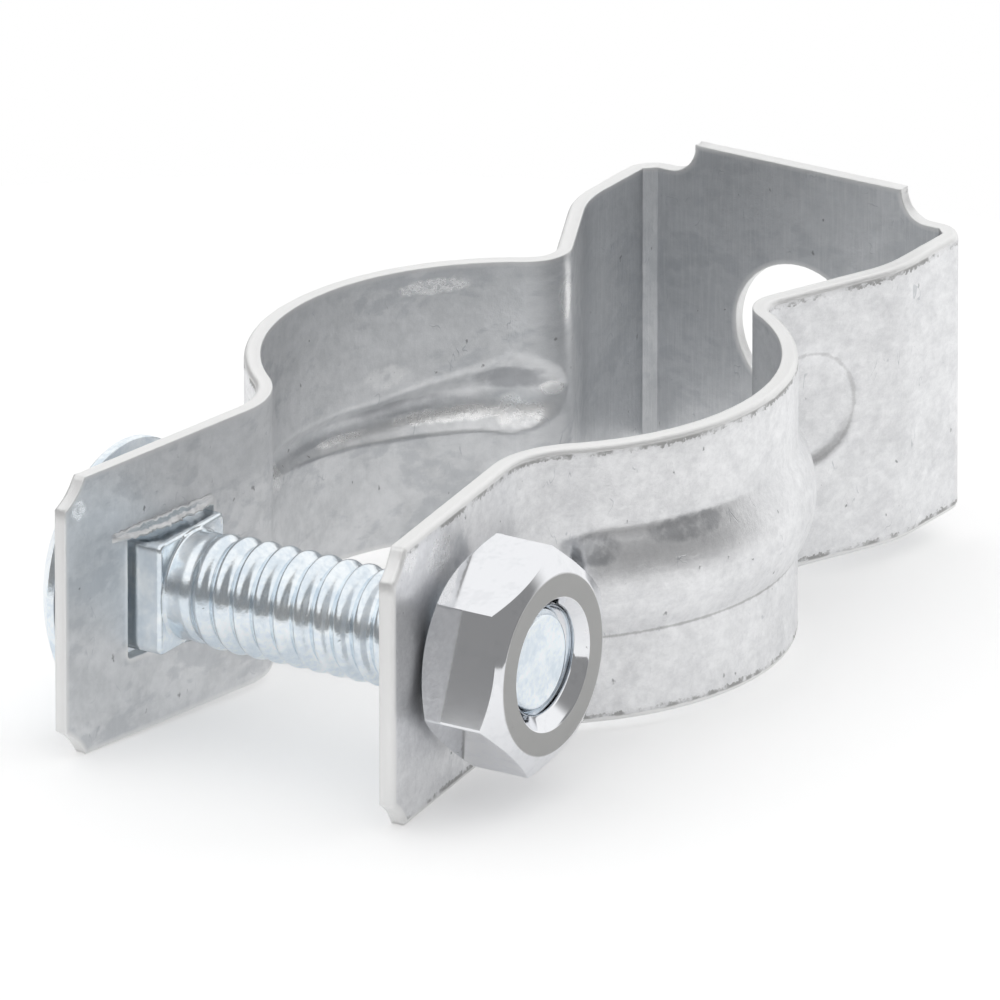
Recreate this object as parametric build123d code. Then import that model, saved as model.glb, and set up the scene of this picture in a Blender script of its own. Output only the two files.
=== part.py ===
from build123d import *
from build123d.topology import SkipClean
import math
import os

# Conduit clip: a folded steel strap that grips a conduit in two jaws, closed by a carriage
# bolt and a hexagon nut. Millimetres.
# The origin is on the conduit's axis at the middle of the strip's width. +Z runs along the
# conduit, +Y points at the base plate and +X at the nut.

# Strip that the strap is folded from
strip_width = 15.875
strip_thickness = 0.91

# Jaws: two arcs about the conduit's axis, angles measured from +Y
conduit_bore = 28.1
base_neck_angle = 28.0
ear_neck_angle = 146.4
base_neck_radius = 1.6
ear_neck_radius = 4.8

# Base plate and the two side walls that lead to the jaws
base_offset = 29.3
base_width = 21.0
base_corner_radius = 1.8
coined_facet = 0.58
wall_straight = 7.4
shoulder_radius = 8.0
base_hole_diameter = 7.9

# Tab that stands out past both edges of the base plate
tab_width = 13.2
tab_rise = 1.75
tab_notch_radius = 1.6

# Ears
ear_length = 17.7
ear_splay = 8.2
ear_corner_clip = 1.6
hole_setback = 8.65
neck_clearance = 0.35
shank_clearance = 0.4
lip_height = 0.6
lip_thickness = 0.75

# Bead pressed outwards along each jaw
bead_height = 5.9
bead_depth = 1.0
bead_start_angle = 34.5
bead_end_angle = 135.0
bead_blend_radius = 0.8

# Dimple pressed inwards in the wall on the nut's side
dimple_diameter = 5.6
dimple_depth = 0.4
dimple_neck_distance = 3.4
dimple_raise = 1.2

# Carriage bolt
bolt_diameter = 6.35
bolt_length = 26.2
thread_pitch = 1.27
thread_depth_per_pitch = 0.6134
head_diameter = 14.6
head_height = 3.4
head_rim = 0.45
neck_width = 6.35
neck_depth = 4.2
neck_edge_round = 0.35
runout_length = 1.0
point_length = 0.75
point_diameter = 5.1

# Hexagon nut
nut_across_flats = 11.11
nut_thickness = 5.1
nut_turn = 19.3
nut_face_diameter = 10.0
nut_chamfer_angle = 30.0
countersink_diameter = 7.4
thread_clearance = 0.05
seat_clearance = 0.05
end_recess = 0.8

# Worked out from the sizes above
jaw_radius = conduit_bore / 2 + strip_thickness
strip_half = strip_width / 2
base_half = base_width / 2
shoulder_y = base_offset - wall_straight
bore_radius = bolt_diameter / 2 + thread_clearance
square_hole = neck_width + 2 * neck_clearance
round_hole_radius = bolt_diameter / 2 + shank_clearance
splay_tan = math.tan(math.radians(ear_splay))
thread_depth = thread_depth_per_pitch * thread_pitch

# How far blanks reach past the part, and how close two lengths are when they count as the same
far = 3 * base_offset
near = 0.01


def on_jaw(angle):
    # Point on the outside of the jaw on the nut's side
    turn = math.radians(angle)
    return Vector(jaw_radius * math.sin(turn), jaw_radius * math.cos(turn))


def ear_direction(side):
    # Unit vector along an ear, from the jaw to its free end; side is +1 at the nut, -1 at the head
    splay = math.radians(ear_splay)
    return Vector(side * math.sin(splay), -math.cos(splay))


def ear_point(side, setback):
    # Point on the outside of an ear, measured back from its free end
    neck = on_jaw(ear_neck_angle)
    corner = Vector(side * neck.X, neck.Y)
    return corner + ear_direction(side) * (ear_length - setback)


def ear_plane(side):
    # Plane on the outside of an ear at its hole: z out of the ear, x towards its free end
    splay = math.radians(ear_splay)
    outward = Vector(side * math.cos(splay), math.sin(splay))
    return Plane(ear_point(side, hole_setback), x_dir=ear_direction(side), z_dir=outward)


hole_centre = ear_point(1, hole_setback)
bolt_y = hole_centre.Y
nut_seat_x = hole_centre.X + nut_face_diameter / 2 * splay_tan + seat_clearance
nut_face_x = nut_seat_x + nut_thickness
bolt_end_x = nut_face_x - end_recess
head_seat_x = bolt_end_x - bolt_length


def mirrored_points(points):
    # Closed outline from the points of its +X half, from the conduit's axis outwards
    return [(x, y) for x, y in points] + [(-x, y) for x, y in reversed(points)]


def corners_at(outline, x, y):
    # The two corners of a symmetric outline that stand at this distance from its centre line
    return [v for v in outline.vertices() if abs(abs(v.X) - x) < near and abs(v.Y - y) < near]


def ball_radius(chord, rise):
    # Radius of the ball whose cap has this width and height
    return ((chord / 2) ** 2 + rise ** 2) / (2 * rise)


def folded_outline():
    # Outside of the folded strap seen along the conduit, with its base corners still sharp
    base_neck = on_jaw(base_neck_angle)
    ear_neck = on_jaw(ear_neck_angle)
    ear_run = ear_point(1, -far)
    base = make_face(Polyline(mirrored_points([
        (base_neck.X, base_neck.Y),
        (base_half, shoulder_y),
        (base_half, base_offset),
    ]), close=True))
    ears = make_face(Polyline(mirrored_points([
        (ear_neck.X, ear_neck.Y),
        (ear_run.X, ear_run.Y),
    ]), close=True))
    outline = Circle(jaw_radius) + base + ears
    outline = fillet(corners_at(outline, base_half, shoulder_y), shoulder_radius)
    outline = fillet(corners_at(outline, base_neck.X, base_neck.Y), base_neck_radius)
    return fillet(corners_at(outline, ear_neck.X, ear_neck.Y), ear_neck_radius)


def past_ear_end(side):
    # Everything beyond an ear's free end, cut square to the ear
    tip = ear_point(side, 0)
    blank = Rectangle(2 * far, 2 * far, align=(Align.CENTER, Align.MAX))
    return Pos(tip.X, tip.Y) * Rot(0, 0, side * ear_splay) * blank


def strap_section():
    # The strip's cut edge: outline less the same outline one thickness in
    folded = folded_outline()
    inside = offset(folded, amount=-strip_thickness, kind=Kind.INTERSECTION)
    inner_half = base_half - strip_thickness
    inside = chamfer(corners_at(inside, inner_half, base_offset - strip_thickness), coined_facet)
    outside = fillet(corners_at(folded, base_half, base_offset), base_corner_radius)
    return outside - inside - past_ear_end(1) - past_ear_end(-1)


def base_tab():
    # Tab across the base plate, with a round notch where each end leaves the strip's edge.
    # A notch is never wider than the straight edge beside the tab.
    edge_run = base_width - 2 * base_corner_radius
    notch = min(tab_notch_radius, (edge_run - tab_width) / 2 - near)
    blank = Rectangle(tab_width, strip_width + 2 * tab_rise) + Rectangle(edge_run, strip_width)
    blank = fillet(corners_at(blank, tab_width / 2, strip_half), notch)
    blank = fillet(corners_at(blank, tab_width / 2, -strip_half), notch)
    return Plane((0, base_offset, 0), x_dir=(1, 0, 0), z_dir=(0, -1, 0)) * extrude(blank, strip_thickness)


def bead_form(grow):
    # Round-ended rib that follows a jaw: an arc of tube with a ball at each end.
    # grow is the surface's distance outside the bead's own outer skin.
    tube = ball_radius(bead_height, bead_depth)
    centre = jaw_radius + bead_depth - tube
    end_turn = math.degrees(math.asin(bead_height / 2 / jaw_radius))
    start = bead_start_angle + end_turn
    sweep_turn = bead_end_angle - end_turn - start
    ring = Plane.YZ * (Pos(centre, 0) * Circle(tube + grow))
    rib = Rot(0, 0, -start) * revolve(ring, Axis.Z, -sweep_turn)
    for angle in (start, start + sweep_turn):
        rib += Rot(0, 0, -angle) * Pos(0, centre, 0) * Sphere(tube + grow)
    return rib


def on_bead_foot(edge):
    # True for the edges where a bead leaves the outside of its jaw
    points = [edge @ (step / 3) for step in range(4)]
    on_skin = all(abs(math.hypot(p.X, p.Y) - jaw_radius) < near for p in points)
    return on_skin and all(abs(p.Z) < bead_height for p in points)


def add_beads(strap):
    skin = Cylinder(jaw_radius + 2 * bead_depth, 2 * bead_height)
    skin -= Cylinder(jaw_radius - strip_thickness / 2, 2 * bead_height)
    ridge = bead_form(0) & skin
    groove = bead_form(-strip_thickness)
    strap += ridge + mirror(ridge, Plane.YZ)
    strap = strap - groove - mirror(groove, Plane.YZ)
    return fillet([edge for edge in strap.edges() if on_bead_foot(edge)], bead_blend_radius)


def dimple_plane():
    # Plane on the outside of the tapered wall, z out of the wall
    neck = on_jaw(base_neck_angle)
    along = (Vector(base_half, shoulder_y) - neck).normalized()
    centre = neck + along * dimple_neck_distance
    return Plane(Vector(centre.X, centre.Y, dimple_raise), x_dir=along, z_dir=Vector(along.Y, -along.X, 0))


def add_dimple(strap):
    # Shallow ball-end press mark: hollow outside, the same swelling one thickness in
    ball = ball_radius(dimple_diameter, dimple_depth)
    centre = Pos(0, 0, ball - dimple_depth)
    reach = Cylinder((dimple_diameter + dimple_depth) / 2, 2 * dimple_depth)
    hollow = centre * Sphere(ball) & reach
    swelling = centre * Sphere(ball + strip_thickness) & Pos(0, 0, -strip_thickness) * reach
    frame = dimple_plane()
    return strap + frame * swelling - frame * hollow


def square_hole_lip():
    # Burr that the punch raised along the square hole's upper edge, on the inside of the ear
    low = square_hole / 2
    profile = Polyline((low, 0), (low + lip_thickness, 0), (low, -lip_height), close=True)
    wedge = extrude(Plane.YZ * make_face(profile), square_hole / 2, both=True)
    return Pos(0, 0, -strip_thickness) * wedge


def punch_holes(strap):
    punch = 4 * strip_thickness
    square = Box(square_hole, square_hole, punch)
    head_ear = ear_plane(-1)
    strap += head_ear * square_hole_lip()
    strap -= head_ear * square
    strap -= ear_plane(1) * Cylinder(round_hole_radius, punch)
    return strap - Pos(0, base_offset, 0) * Rot(90, 0, 0) * Cylinder(base_hole_diameter / 2, punch)


def clip_ear_corners(strap):
    # Cut the four corners of the ears' free ends
    for side in (1, -1):
        tip = ear_point(side, 0)
        corners = [
            edge for edge in strap.edges()
            if abs(edge.center().Z) > strip_half - near and edge.length < strip_thickness + near
            and (edge.center() - Vector(tip.X, tip.Y, edge.center().Z)).length < strip_thickness
        ]
        strap = chamfer(corners, ear_corner_clip)
    return strap


def divide_at_mid_width(strap):
    # The same solid with its faces divided at mid-width, so that the wall which holds the conduit
    # has a face on either side of each bead's groove
    upper = split(strap, bisect_by=Plane.XY, keep=Keep.TOP)
    lower = split(strap, bisect_by=Plane.XY, keep=Keep.BOTTOM)
    with SkipClean():
        return upper + lower


def make_strap():
    strap = extrude(strap_section(), strip_half, both=True)
    strap = clip_ear_corners(strap)
    strap += base_tab()
    strap = add_beads(strap)
    strap = add_dimple(strap)
    strap = punch_holes(strap)
    return divide_at_mid_width(strap)


def thread_ridges(start):
    # Outline points (radius, height) of the thread from here to the point, one sharp ridge a pitch
    crest = bolt_diameter / 2
    root = crest - thread_depth
    turns = math.floor((bolt_length - point_length - start) / thread_pitch)
    points = []
    for turn in range(turns):
        foot = start + turn * thread_pitch
        points += [(root, foot), (crest, foot + thread_pitch / 2)]
    return points + [(root, start + turns * thread_pitch)]


def bolt_frame():
    # On the bolt's axis under its head, z towards the nut
    return Plane((head_seat_x, bolt_y, 0), x_dir=(0, 1, 0), z_dir=(1, 0, 0))


def make_bolt():
    # Domed head, square neck, plain blank at the run-out, ridged thread and chamfered point
    ball = ball_radius(head_diameter, head_height - head_rim)
    rim = Cylinder(head_diameter / 2, head_height, align=(Align.CENTER, Align.CENTER, Align.MAX))
    head = Pos(0, 0, ball - head_height) * Sphere(ball) & rim
    neck = extrude(RectangleRounded(neck_width, neck_width, neck_edge_round), neck_depth)
    crest = bolt_diameter / 2
    blank = crest - thread_depth / 2
    runout_end = neck_depth + runout_length
    shank = Polyline([
        (0, 0),
        (blank, 0),
        (blank, runout_end),
        *thread_ridges(runout_end + thread_depth / 2),
        (crest, bolt_length - point_length),
        (point_diameter / 2, bolt_length),
        (0, bolt_length),
    ], close=True)
    return bolt_frame() * (head + neck + revolve(Plane.XZ * make_face(shank), Axis.Z))


def nut_frame():
    # On the bolt's axis at the nut's seat, z away from the ear
    return Plane((nut_seat_x, bolt_y, 0), x_dir=(0, 1, 0), z_dir=(1, 0, 0))


def make_nut():
    # Hexagon with both ends turned to a cone, and a countersunk bore
    outline = RegularPolygon(nut_across_flats / 2, 6, major_radius=False, rotation=nut_turn)
    face_radius = nut_face_diameter / 2
    outside = nut_across_flats / math.sqrt(3) + near  # just past the hexagon's corners
    drop = (outside - face_radius) * math.tan(math.radians(nut_chamfer_angle))
    turned = Polyline(
        (0, 0),
        (face_radius, 0),
        (outside, drop),
        (outside, nut_thickness - drop),
        (face_radius, nut_thickness),
        (0, nut_thickness),
        close=True,
    )
    mouth = countersink_diameter / 2 - bore_radius
    bore = Polyline(
        (0, -mouth),
        (countersink_diameter / 2 + mouth, -mouth),
        (bore_radius, mouth),
        (bore_radius, nut_thickness - mouth),
        (countersink_diameter / 2 + mouth, nut_thickness + mouth),
        (0, nut_thickness + mouth),
        close=True,
    )
    nut = extrude(outline, nut_thickness) & revolve(Plane.XZ * make_face(turned), Axis.Z)
    return nut_frame() * (nut - revolve(Plane.XZ * make_face(bore), Axis.Z))


parts = {
    "strap": make_strap(),
    "carriage_bolt": make_bolt(),
    "hex_nut": make_nut(),
}

os.makedirs("parts", exist_ok=True)
for name, shape in parts.items():
    export_step(shape, f"parts/{name}.step")
    print(name, "volume", round(shape.volume, 1))
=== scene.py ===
import math

import bmesh
import bpy
import numpy as np
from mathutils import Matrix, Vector, noise
from mathutils.geometry import delaunay_2d_cdt


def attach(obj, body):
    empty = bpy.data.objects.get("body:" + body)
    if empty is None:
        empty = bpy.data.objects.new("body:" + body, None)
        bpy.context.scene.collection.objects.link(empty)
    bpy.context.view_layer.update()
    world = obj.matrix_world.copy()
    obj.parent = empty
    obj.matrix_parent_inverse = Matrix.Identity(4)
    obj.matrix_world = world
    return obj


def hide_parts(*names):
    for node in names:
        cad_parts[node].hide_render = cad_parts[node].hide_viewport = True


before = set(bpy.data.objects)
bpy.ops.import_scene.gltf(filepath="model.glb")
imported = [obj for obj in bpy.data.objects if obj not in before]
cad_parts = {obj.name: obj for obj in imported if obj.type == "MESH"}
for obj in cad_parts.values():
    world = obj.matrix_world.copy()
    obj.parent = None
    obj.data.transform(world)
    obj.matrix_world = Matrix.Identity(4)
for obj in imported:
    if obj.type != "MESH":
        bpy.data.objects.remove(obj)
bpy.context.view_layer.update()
mm = 0.001
print("frame loaded:", ", ".join(sorted(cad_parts)))


# Meshes

def makePiece(name, points, faces, material, marks):
    # points are in millimetres; marks are named values at the points that the material reads
    mesh = bpy.data.meshes.new(name)
    mesh.from_pydata([tuple(p) for p in np.asarray(points) * mm], [], [tuple(f) for f in faces])
    shell = bmesh.new()
    shell.from_mesh(mesh)
    bmesh.ops.recalc_face_normals(shell, faces=shell.faces)
    shell.to_mesh(mesh)
    shell.free()
    for mark, values in marks.items():
        values = np.asarray(values, np.float32)
        kind, field = ("FLOAT", "value") if values.ndim == 1 else ("FLOAT_VECTOR", "vector")
        mesh.attributes.new(mark, kind, "POINT").data.foreach_set(field, values.ravel())
    mesh.polygons.foreach_set("use_smooth", np.ones(len(mesh.polygons), bool))
    mesh.normals_split_custom_set_from_vertices(flatKeepingNormals(mesh))
    mesh.materials.append(material)
    piece = bpy.data.objects.new(name, mesh)
    bpy.context.scene.collection.objects.link(piece)
    print(name, "faces", len(mesh.polygons))
    return piece


def flatKeepingNormals(mesh):
    # Each point's normal leans to its larger faces, so a flat stays flat up to its rounded edge
    count = len(mesh.polygons)
    normal, area = np.zeros(count * 3), np.zeros(count)
    mesh.polygons.foreach_get("normal", normal)
    mesh.polygons.foreach_get("area", area)
    start, total = np.zeros(count, int), np.zeros(count, int)
    mesh.polygons.foreach_get("loop_start", start)
    mesh.polygons.foreach_get("loop_total", total)
    corner = np.zeros(len(mesh.loops), int)
    mesh.loops.foreach_get("vertex_index", corner)
    weighted = normal.reshape(-1, 3) * area[:, None]
    summed = np.zeros((len(mesh.vertices), 3))
    np.add.at(summed, corner, np.repeat(weighted, total, axis=0))
    return summed / np.maximum(np.linalg.norm(summed, axis=1), 1e-20)[:, None]


def grain(x, y, z, seed):
    # Smooth noise from -1 to 1
    return noise.noise(Vector((x, y + 31.7 * seed, z)))


# Material building blocks

def feed(tree, node, sockets):
    # A socket's value is a number, a vector, a colour or the output that feeds it
    for name, value in sockets.items():
        if isinstance(value, bpy.types.NodeSocket):
            tree.links.new(value, node.inputs[name])
        else:
            node.inputs[name].default_value = value


def place(tree, kind, sockets, **settings):
    made = tree.nodes.new("ShaderNode" + kind)
    for name, value in settings.items():
        setattr(made, name, value)
    feed(tree, made, sockets)
    return made


def maths(tree, operation, a, b=0.0, c=0.0):
    return place(tree, "Math", {0: a, 1: b, 2: c}, operation=operation).outputs[0]


def times(tree, a, b):
    return maths(tree, "MULTIPLY", a, b)


def timesPlus(tree, a, b, c):
    return maths(tree, "MULTIPLY_ADD", a, b, c)


def ramp(tree, value, low, high, toLow=0.0, toHigh=1.0):
    # Smooth step of a value from low..high to toLow..toHigh
    made = place(tree, "MapRange", {"Value": value, "From Min": low, "From Max": high, "To Min": toLow,
                                    "To Max": toHigh}, interpolation_type="SMOOTHSTEP")
    return made.outputs["Result"]


def blendColour(tree, share, a, b):
    return place(tree, "Mix", {0: share, 6: a, 7: b}, data_type="RGBA").outputs[2]


def vectors(tree, operation, a, b=(0, 0, 0)):
    return place(tree, "VectorMath", {0: a, 1: b}, operation=operation).outputs


def stretched(tree, vector, scale):
    return vectors(tree, "MULTIPLY", vector, scale)[0]


def newGroup(name, inputs, outputs):
    # inputs are (name, kind, default); all vectors are in millimetres
    tree = bpy.data.node_groups.new(name, "ShaderNodeTree")
    for label, kind, default in inputs:
        socket = tree.interface.new_socket(label, in_out="INPUT", socket_type="NodeSocket" + kind)
        socket.default_value = default
    for label, kind in outputs:
        tree.interface.new_socket(label, in_out="OUTPUT", socket_type="NodeSocket" + kind)
    return tree, tree.nodes.new("NodeGroupInput"), tree.nodes.new("NodeGroupOutput")


def makeMottle():
    # Cloudy zinc: slow clouds under finer blotches
    tree, given, put = newGroup("zincMottle", [("Vector", "Vector", (0, 0, 0)), ("Size", "Float", 3.0)],
                                [("Shade", "Float"), ("Height", "Float")])
    spot = given.outputs["Vector"]
    scale = maths(tree, "DIVIDE", 1.0, given.outputs["Size"])
    cloud = place(tree, "TexNoise", {"Vector": spot, "Scale": scale, "Detail": 5.0, "Roughness": 0.62,
                                     "Distortion": 0.4})
    finer = times(tree, scale, 5.3)
    fine = place(tree, "TexNoise", {"Vector": spot, "Scale": finer, "Detail": 4.0})
    shade = maths(tree, "ADD", times(tree, cloud.outputs["Fac"], 0.68),
                  times(tree, fine.outputs["Fac"], 0.32))
    tree.links.new(ramp(tree, shade, 0.36, 0.64), put.inputs["Shade"])
    tree.links.new(fine.outputs["Fac"], put.inputs["Height"])
    return tree


def makeBrushing():
    # Fine parallel lines; Stretch is how many lines fit a millimetre along each axis
    tree, given, put = newGroup("rolledLines", [("Vector", "Vector", (0, 0, 0)),
                                                ("Stretch", "Vector", (9, 0.5, 1))], [("Lines", "Float")])
    vector = stretched(tree, given.outputs["Vector"], given.outputs["Stretch"])
    lines = place(tree, "TexNoise", {"Vector": vector, "Scale": 1.0, "Detail": 3.0, "Roughness": 0.7})
    tree.links.new(lines.outputs["Fac"], put.inputs["Lines"])
    return tree


def makeSpecks():
    # Scattered small pits and ash specks; Share is how much of the surface they take
    tree, given, put = newGroup("pits", [("Vector", "Vector", (0, 0, 0)), ("Spacing", "Float", 1.5),
                                         ("Share", "Float", 0.3)], [("Mask", "Float")])
    spot = given.outputs["Vector"]
    wobble = place(tree, "TexNoise", {"Vector": spot, "Scale": 3.1, "Detail": 2.0})
    pulled = stretched(tree, wobble.outputs["Color"], (0.45, 0.45, 0.45))
    scale = maths(tree, "DIVIDE", 1.0, given.outputs["Spacing"])
    cells = place(tree, "TexVoronoi", {"Vector": vectors(tree, "ADD", spot, pulled)[0], "Scale": scale})
    chance = place(tree, "SeparateColor", {"Color": cells.outputs["Color"]})
    kept = maths(tree, "LESS_THAN", chance.outputs[0], given.outputs["Share"])
    reach = timesPlus(tree, chance.outputs[1], 0.11, 0.05)
    near = maths(tree, "SUBTRACT", 1.0, maths(tree, "DIVIDE", cells.outputs["Distance"], reach))
    tree.links.new(times(tree, ramp(tree, near, 0.0, 0.7), kept), put.inputs["Mask"])
    return tree


def makeScratches():
    # Sparse short scratches: thin crossings of a stretched noise, kept in some places only
    given = [("Vector", "Vector", (0, 0, 0)), ("Stretch", "Vector", (0.3, 2.2, 1)), ("Share", "Float", 0.5)]
    tree, given, put = newGroup("scratches", given, [("Mask", "Float")])
    vector = stretched(tree, given.outputs["Vector"], given.outputs["Stretch"])
    lines = place(tree, "TexNoise", {"Vector": vector, "Scale": 1.0, "Detail": 1.0, "Distortion": 0.6})
    away = maths(tree, "ABSOLUTE", maths(tree, "SUBTRACT", lines.outputs["Fac"], 0.5))
    thin = ramp(tree, away, 0.012, 0.003)
    patches = place(tree, "TexNoise", {"Vector": given.outputs["Vector"], "Scale": 0.55, "Detail": 3.0})
    more = times(tree, given.outputs["Share"], 0.3)
    kept = ramp(tree, patches.outputs["Fac"], maths(tree, "SUBTRACT", 0.78, more),
                maths(tree, "SUBTRACT", 0.84, more))
    tree.links.new(times(tree, thin, kept), put.inputs["Mask"])
    return tree


def makeBrokenPatch():
    # A broken-up patch of a given size around a centre, for wear, stains, painted shade and painted
    # highlights
    given = [("Vector", "Vector", (0, 0, 0)), ("Centre", "Vector", (0, 0, 0)),
             ("Size", "Vector", (2, 2, 1)), ("Grain", "Float", 1.6)]
    tree, given, put = newGroup("brokenPatchMask", given, [("Mask", "Float")])
    spot = given.outputs["Vector"]
    offset = vectors(tree, "SUBTRACT", spot, given.outputs["Centre"])[0]
    scaled = vectors(tree, "DIVIDE", offset, given.outputs["Size"])[0]
    reach = vectors(tree, "LENGTH", scaled)["Value"]
    broken = place(tree, "TexNoise", {"Vector": spot, "Scale": given.outputs["Grain"], "Detail": 4.0,
                                      "Roughness": 0.6, "Distortion": 0.15})
    fade = ramp(tree, reach, 1.0, 0.35)
    level = times(tree, fade, broken.outputs["Fac"])
    tree.links.new(ramp(tree, level, 0.25, 0.58), put.inputs["Mask"])
    return tree


mottle, brushing, specks = makeMottle(), makeBrushing(), makeSpecks()
scratches, brokenPatch = makeScratches(), makeBrokenPatch()


def use(tree, group, sockets):
    return place(tree, "Group", sockets, node_tree=group).outputs


def placeInMm(tree):
    return stretched(tree, place(tree, "TexCoord", {}).outputs["Object"], (1000, 1000, 1000))


def pitMask(tree, vector, size):
    sockets = {"Vector": vector, "Spacing": size["pitSpacing"], "Share": size["pitShare"]}
    return use(tree, specks, sockets)["Mask"]


def nickMask(tree, vector, size):
    sockets = {"Vector": vector, "Stretch": size["nickStretch"], "Share": size["nickShare"]}
    return use(tree, scratches, sockets)["Mask"]


def newMaterial(name):
    material = bpy.data.materials.new(name)
    material.use_nodes = True
    tree = material.node_tree
    return material, tree, tree.nodes["Principled BSDF"]


def dress(tree, shader, colour, metal, rough, height, strength, distance):
    bump = place(tree, "Bump", {"Height": height, "Strength": strength, "Distance": distance}).outputs[0]
    feed(tree, shader, {"Base Color": colour, "Metallic": metal, "Roughness": rough, "Normal": bump})


# Strap

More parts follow.
